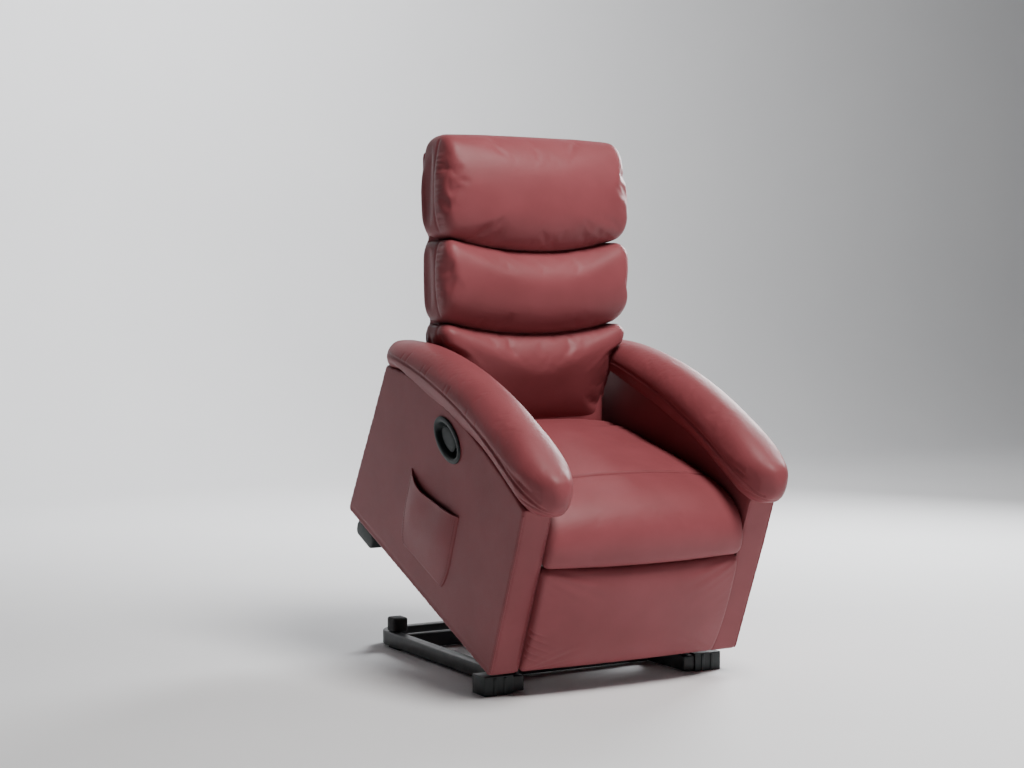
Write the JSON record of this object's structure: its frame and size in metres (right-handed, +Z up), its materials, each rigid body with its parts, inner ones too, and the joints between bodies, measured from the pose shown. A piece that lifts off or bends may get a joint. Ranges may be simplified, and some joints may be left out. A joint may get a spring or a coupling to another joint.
{
  "type": "lift recliner chair",
  "caption": "Burgundy padded lift recliner, body raised and tilted on a floor frame, with reclining back, folding footrest, side pocket and release lever.",
  "frame": {"origin": "on the floor, under the middle of the whole raised chair", "axes": "+X to the sitter's left, +Y to the rear of the chair, +Z up"},
  "size_m": [0.704, 1.0116, 1.2966],
  "materials": {
    "upholstery": "satin, burgundy",
    "wood": "bare",
    "zinc": "zinc plated",
    "plastic": "moulded, black",
    "rubber": "moulded",
    "steel": "satin black"
  },
  "bodies": {
    "base": {"base_bow": "steel", "base_front_tube": "steel", "base_cross_tube": "steel", "control_box": "plastic", "power_inlet": "plastic", "foot_cap_right": "plastic", "foot_cap_left": "plastic", "rear_glide_right": "rubber", "rear_glide_left": "rubber", "bumper_right": "rubber", "bumper_left": "rubber", "lift_bracket_right": "steel", "lift_bracket_left": "steel"},
    "lift_arms": {"lift_arm_right": "steel", "lift_arm_left": "steel", "lift_cross_tube": "steel"},
    "front_links": {"front_link_right": "steel", "front_link_left": "steel"},
    "actuator": {"actuator_gearbox": "plastic", "actuator_motor": "plastic", "actuator_tube": "plastic"},
    "actuator_rod": {"actuator_rod": "zinc"},
    "chair_body": {"actuator_crossbar": "steel", "rear_cross_rail": "wood", "rear_panel": "upholstery", "side_pocket": "upholstery", "lever_bezel": "plastic", "side_panel_right": "upholstery", "side_panel_left": "upholstery", "arm_pad_right": "upholstery", "arm_pad_left": "upholstery", "lift_rail_right": "steel", "lift_rail_left": "steel", "seat_guide_right": "zinc", "seat_guide_left": "zinc", "rear_foot_right": "plastic", "rear_foot_left": "plastic"},
    "release_lever": {"release_lever": "plastic"},
    "seat_carriage": {"seat_frame": "wood", "seat_springs": "zinc", "seat_cushion": "upholstery", "mechanism_plate_right": "steel", "mechanism_plate_left": "steel"},
    "backrest": {"back_frame": "wood", "back_cover": "upholstery", "head_cushion": "upholstery", "middle_cushion": "upholstery", "lumbar_cushion": "upholstery", "back_plate_right": "steel", "back_plate_left": "steel"},
    "footrest_swing": {"footrest_swing_frame": "steel"},
    "footrest_rear": {"footrest_rear_link_right": "steel", "footrest_rear_link_left": "steel"},
    "footrest_carrier": {"footrest_carrier_link_right": "steel", "footrest_carrier_link_left": "steel"},
    "footrest_control": {"footrest_control_link_right": "steel", "footrest_control_link_left": "steel"},
    "footrest_panel": {"footrest_bracket": "steel", "footrest_board": "wood", "footrest_cushion": "upholstery"}
  },
  "joints": [
    {"name": "lift", "type": "hinge", "parent": "base", "child": "lift_arms", "pos_m": [0, -0.11124, 0.079], "axis": [1, 0, 0], "range_deg": [-32.63, 0]},
    {"name": "body_tilt", "type": "hinge", "parent": "lift_arms", "child": "chair_body", "pos_m": [0, 0.1425, 0.30916], "axis": [1, 0, 0], "range_deg": [-0.2, 10.6]},
    {"name": "front_link", "type": "hinge", "parent": "base", "child": "front_links", "pos_m": [0, -0.19624, 0.075], "axis": [1, 0, 0], "range_deg": [-46, 0.2]},
    {"name": "actuator_swing", "type": "hinge", "parent": "base", "child": "actuator", "pos_m": [0, 0.36876, 0.06], "axis": [1, 0, 0], "range_deg": [-0.2, 4.6]},
    {"name": "actuator_stroke", "type": "slide", "parent": "actuator", "child": "actuator_rod", "axis": [0, -0.8477, 0.5304], "range_m": [-0.1475, 0.001]},
    {"name": "release_lever", "type": "hinge", "parent": "chair_body", "child": "release_lever", "pos_m": [-0.336, -0.0451, 0.5931], "axis": [0, 0.5635, -0.8261], "range_deg": [0, 28], "stiffness_Nm_per_rad": 0.35},
    {"name": "recline", "type": "hinge", "parent": "seat_carriage", "child": "backrest", "pos_m": [0, 0.19804, 0.5427], "axis": [-1, 0, 0], "range_deg": [0, 35]},
    {"name": "seat_slide", "type": "slide", "parent": "chair_body", "child": "seat_carriage", "axis": [0, -0.9622, -0.2723], "range_m": [-0.0005, 0.0405]},
    {"name": "footrest", "type": "hinge", "parent": "seat_carriage", "child": "footrest_swing", "pos_m": [0, -0.26623, 0.33067], "axis": [-1, 0, 0], "range_deg": [0, 100]},
    {"name": "footrest_rear", "type": "hinge", "parent": "seat_carriage", "child": "footrest_rear", "pos_m": [0, -0.20625, 0.32889], "axis": [-1, 0, 0], "range_deg": [-0.5, 100.5]},
    {"name": "footrest_carrier", "type": "hinge", "parent": "footrest_swing", "child": "footrest_carrier", "pos_m": [0, -0.08731, 0.1707], "axis": [-1, 0, 0], "range_deg": [-100.5, 0.5]},
    {"name": "footrest_control", "type": "hinge", "parent": "footrest_swing", "child": "footrest_control", "pos_m": [0, -0.13204, 0.21069], "axis": [-1, 0, 0], "range_deg": [-100.5, 0.5]},
    {"name": "footrest_turn", "type": "hinge", "parent": "footrest_carrier", "child": "footrest_panel", "pos_m": [0, -0.25474, 0.18406], "axis": [-1, 0, 0], "range_deg": [-0.5, 100.5]}
  ],
  "couplings": [
    {"joint": "body_tilt", "follows": "lift", "ratio": -0.31639},
    {"joint": "front_link", "follows": "lift", "ratio": 1.4006},
    {"joint": "actuator_swing", "follows": "lift", "ratio": -0.096332},
    {"joint": "actuator_stroke", "follows": "lift", "m_per_rad": 0.25369},
    {"joint": "seat_slide", "follows": "recline", "m_per_rad": 0.065481},
    {"joint": "footrest_rear", "follows": "footrest", "ratio": 1},
    {"joint": "footrest_carrier", "follows": "footrest", "ratio": -1},
    {"joint": "footrest_control", "follows": "footrest", "ratio": -1},
    {"joint": "footrest_turn", "follows": "footrest", "ratio": 1}
  ]
}
